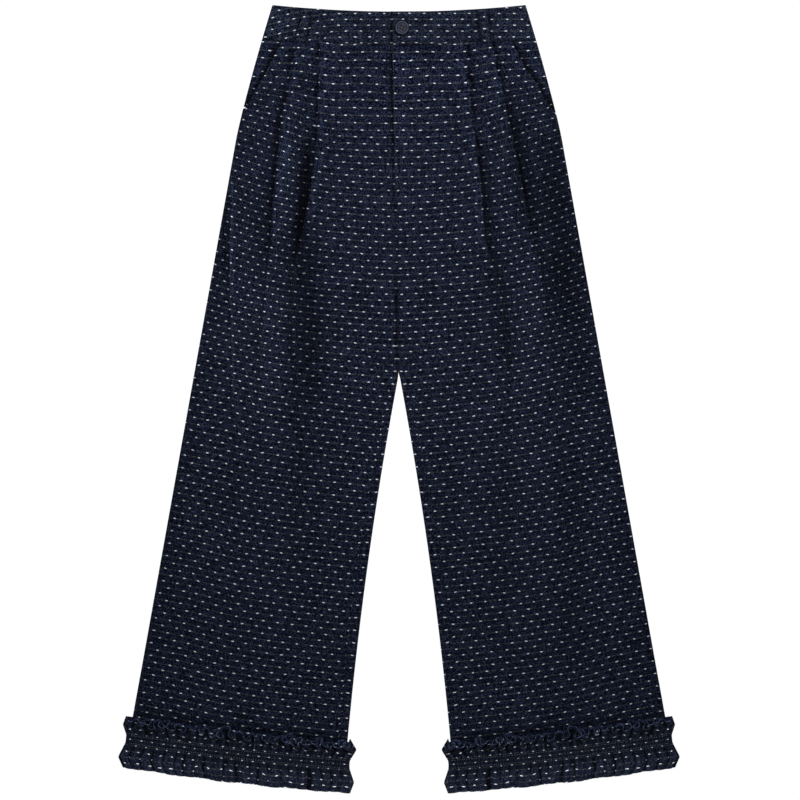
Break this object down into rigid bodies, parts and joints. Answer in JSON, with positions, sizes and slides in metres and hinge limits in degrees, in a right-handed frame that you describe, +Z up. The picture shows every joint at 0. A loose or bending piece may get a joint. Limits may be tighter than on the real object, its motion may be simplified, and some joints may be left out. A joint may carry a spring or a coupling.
{
  "type": "wide-leg pleated trousers",
  "caption": "Wide-leg trousers laid flat, with pressed pleats, slant pockets, a buttoned waistband with belt loops and a gathered ruffle round each hem.",
  "frame": {"origin": "on the surface the garment lies on, under the middle of its outline", "axes": "+X to the right of the view from above, +Y from the hems to the waist, +Z up off the surface"},
  "size_m": [0.7016, 0.9839, 0.0158],
  "materials": {
    "trouser_cloth": "matte dobby weave with pale dashes",
    "ruffle_cloth": "the same weave, gathered",
    "button_plastic": "satin"
  },
  "bodies": {
    "root": {"front_left": "trouser_cloth", "front_right": "trouser_cloth", "back_left": "trouser_cloth", "back_right": "trouser_cloth", "pocket_facing_left": "trouser_cloth", "pocket_facing_right": "trouser_cloth", "waistband_front_left": "trouser_cloth", "waistband_front_right": "trouser_cloth", "waistband_back": "trouser_cloth", "belt_loop_front_left": "trouser_cloth", "belt_loop_front_right": "trouser_cloth", "belt_loop_back_left": "trouser_cloth", "belt_loop_back_middle": "trouser_cloth", "belt_loop_back_right": "trouser_cloth", "ruffle_front_left": "ruffle_cloth", "ruffle_front_right": "ruffle_cloth", "ruffle_back_left": "ruffle_cloth", "ruffle_back_right": "ruffle_cloth", "waist_button": "button_plastic"}
  },
  "joints": []
}
